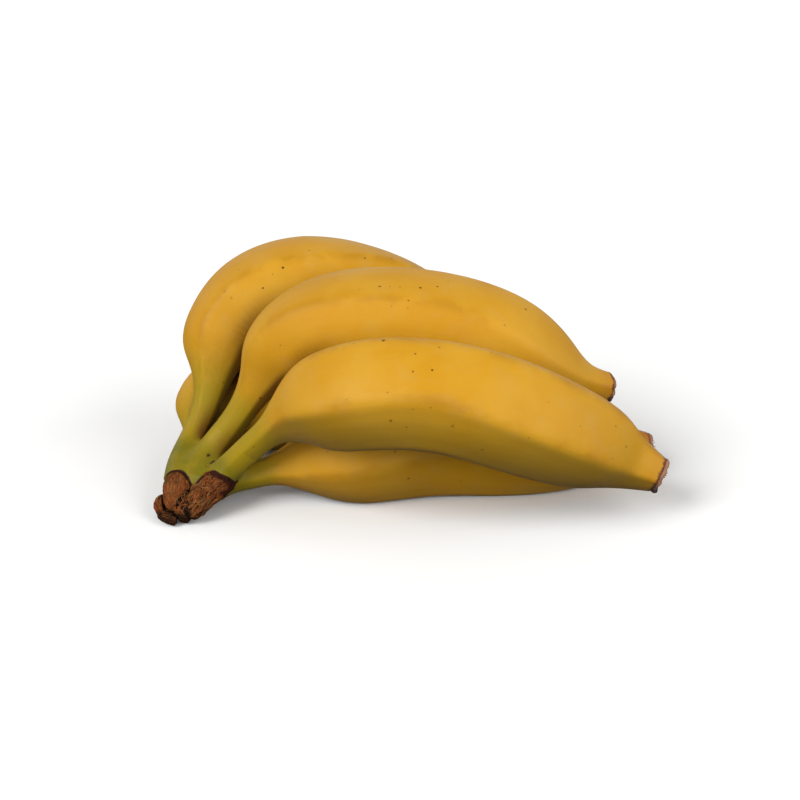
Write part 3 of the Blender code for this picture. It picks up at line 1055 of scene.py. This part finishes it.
def cut_material():
    """Dry torn flesh: reddish brown, streaked tan along its fibres, with dark pits, and painted shade in its
    hollows, its folds and near the floor.
    """
    material, tree, shader, place = new_material("dried_face")
    fibrous = stretched(tree, kept(tree, "straight", "Vector"), (0.14, 1.0, 1.0))
    patches = grain(tree, place, 280.0, 4.0)
    fibres = grain(tree, fibrous, 1500.0, 4.0, 0.65)
    colour = blend(tree, ramp(tree, patches, 0.38, 0.62), CUT_RED, CUT_BROWN)
    colour = blend(tree, ramp(tree, fibres, 0.50, 0.66, 0.0, 0.75), colour, CUT_TAN)
    pits = ramp(tree, grain(tree, place, 1000.0, 2.0), 0.52, 0.64)
    pits = combine(tree, "MULTIPLY", pits, kept(tree, "pitted"))
    colour = blend(tree, pits, colour, CUT_PITS_AND_SHADE)
    # Painted shade in the hollows and folds
    colour = blend(tree, ramp(tree, kept(tree, "lift"), -0.38, -0.02, 0.9, 0.0), colour, CUT_PITS_AND_SHADE)
    colour = blend(tree, ramp(tree, kept(tree, "crease"), 0.2, 0.9, 0.0, 0.9), colour, CUT_PITS_AND_SHADE)
    rim = ragged(tree, "rim", patches, 0.25)
    colour = blend(tree, ramp(tree, rim, 0.35, 0.75, 0.0, 0.9), colour, RIM_PURPLE)
    # Painted shade near the floor
    low = ragged(tree, "low", patches, 0.2)
    colour = blend(tree, ramp(tree, low, 0.30, 0.95, 0.0, 0.85), colour, CUT_PITS_AND_SHADE)
    inputs = {
        "Base Color": colour,
        "Roughness": ramp(tree, fibres, *GRAIN_RANGE, 0.75, 0.95),
        "Specular IOR Level": 0.04,
        "Normal": bumps(tree, fibres, 0.7, 0.0007),
    }
    set_inputs(tree, shader, inputs)
    return material


def fibre_material():
    material, tree, shader, place = new_material("dry_fibre")
    tone = grain(tree, place, 400.0, 2.0)
    colour = blend(tree, ramp(tree, tone, 0.35, 0.65), CUT_TAN, CUT_RED)
    set_inputs(tree, shader, {"Base Color": colour, "Roughness": 0.8, "Specular IOR Level": 0.08})
    return material


def flower_material():
    """Dried flower scar: pinkish grey on the crest, brown outside, black in the hollow."""
    material, tree, shader, place = new_material("flower_scar")
    rough = grain(tree, place, 900.0, 4.0, 0.65)
    share = ragged(tree, "share", rough, 0.06)
    colour = blend(tree, ramp(tree, share, 0.62, 0.74), FLOWER_BLACK, ASH_PINK)
    height = ragged(tree, "height", rough, 0.2)
    low = ramp(tree, height, 0.3, 0.7, 1.0, 0.0)
    foot = combine(tree, "MULTIPLY", low, ramp(tree, share, 0.7, 0.8))
    colour = blend(tree, foot, colour, TIP_BROWN)
    colour = blend(tree, ramp(tree, rough, 0.55, 0.7, 0.0, 0.6), colour, FLOWER_BLACK)
    under = ragged(tree, "under", rough, 0.2)
    colour = blend(tree, ramp(tree, under, 0.15, 0.55, 0.0, 0.9), colour, FLOWER_BLACK)
    relief = bumps(tree, rough, 0.7, 0.0006)
    set_inputs(tree, shader, {"Base Color": colour, "Roughness": 0.9, "Normal": relief})
    return material


def hair_material():
    material, tree, shader, place = new_material("flower_hair")
    colour = blend(tree, grain(tree, place, 500.0), FLOWER_BLACK, TIP_BROWN)
    set_inputs(tree, shader, {"Base Color": colour, "Roughness": 0.85})
    return material


# The camera looks at this point, in the stations' coordinates, from this far and this high
AIM = np.array([-3.5, 3.0, 38.0])
CAMERA_DISTANCE = 700.0
CAMERA_ELEVATION = math.radians(22.0)
FOCAL_LENGTH = 85.5
SENSOR_WIDTH = 36.0
AIM_PIXEL = (405, 385)
IMAGE_SIDE = 800

# Strengths of the surroundings
WORLD_ABOVE = 0.28
WORLD_SIDES = 0.68
WORLD_BELOW = 0.0

# Each sun's place, strength, and width in degrees
SUNS = {
    "key": ((-0.76, -0.69, 0.74), 2.8, 35.0),
    "fill": ((1.0, -0.62, 0.46), 2.2, 60.0),
    "front": ((-0.10, -1.0, 0.20), 0.7, 50.0),
}

# In metres; the floor lies a little lower than the hand, so that their faces don't meet
FLOOR_HALF_SIDE = 6.0
FLOOR_DROP = 0.0003


def make_camera():
    camera = in_scene("camera", bpy.data.cameras.new("camera"))
    back = Vector((0.0, -math.cos(CAMERA_ELEVATION), math.sin(CAMERA_ELEVATION)))
    camera.location = Vector(to_world(AIM)) + back * CAMERA_DISTANCE * MM
    camera.rotation_euler = (math.pi / 2 - CAMERA_ELEVATION, 0.0, 0.0)
    camera.data.lens = FOCAL_LENGTH
    camera.data.sensor_width = SENSOR_WIDTH
    camera.data.shift_x = (IMAGE_SIDE / 2 - AIM_PIXEL[0]) / IMAGE_SIDE
    camera.data.shift_y = (AIM_PIXEL[1] - IMAGE_SIDE / 2) / IMAGE_SIDE
    bpy.context.scene.camera = camera


def make_sun(name, place, strength, softness):
    """Light from far away, out of the direction of a place; softness is its width in degrees."""
    sun = in_scene(name, bpy.data.lights.new(name, "SUN"))
    sun.data.energy = strength
    sun.data.angle = math.radians(softness)
    sun.location = place
    sun.rotation_euler = (-Vector(place)).to_track_quat("-Z", "Y").to_euler()


def make_floor():
    """Pale floor. The hand's undersides are lit by the world's dim lower half and not by the floor."""
    side = FLOOR_HALF_SIDE
    corners = [(-side, -side, 0.0), (side, -side, 0.0), (side, side, 0.0), (-side, side, 0.0)]
    floor = new_object("floor", corners, [(0, 1, 2, 3)])
    floor.location.z = -FLOOR_DROP
    floor.visible_diffuse = False
    floor.visible_glossy = False
    material, tree, shader, place = new_material("pale_floor")
    tone = grain(tree, place, 3.0, 2.0)
    colour = blend(tree, tone, *FLOOR_GREYS)
    set_inputs(tree, shader, {"Base Color": colour, "Roughness": 0.9, "Specular IOR Level": 0.1})
    floor.data.materials.append(material)


def make_world():
    """Pale surroundings, brightest at the horizon and dim below it."""
    world = bpy.data.worlds.new("studio")
    world.use_nodes = True
    tree = world.node_tree
    height = add(tree, "SeparateXYZ", {"Vector": add(tree, "TexCoord").outputs["Generated"]}).outputs["Z"]
    rising = ramp(tree, height, -0.25, 0.1, WORLD_BELOW, WORLD_SIDES)
    falling = ramp(tree, height, 0.3, 0.9, 1.0, WORLD_ABOVE / WORLD_SIDES)
    strength = combine(tree, "MULTIPLY", rising, falling)
    set_inputs(tree, tree.nodes["Background"], {"Color": (1.0, 1.0, 1.0), "Strength": strength})
    bpy.context.scene.world = world


random = np.random.default_rng(SEED)
for banana in BANANAS:
    make_skin(banana)
    make_flower_end(banana, random)
make_pad()
make_fibres(make_cut(), random)
make_camera()
make_floor()
make_world()
for sun_name, sun_settings in SUNS.items():
    make_sun(sun_name, *sun_settings)
bpy.context.scene.view_settings.view_transform = "Standard"
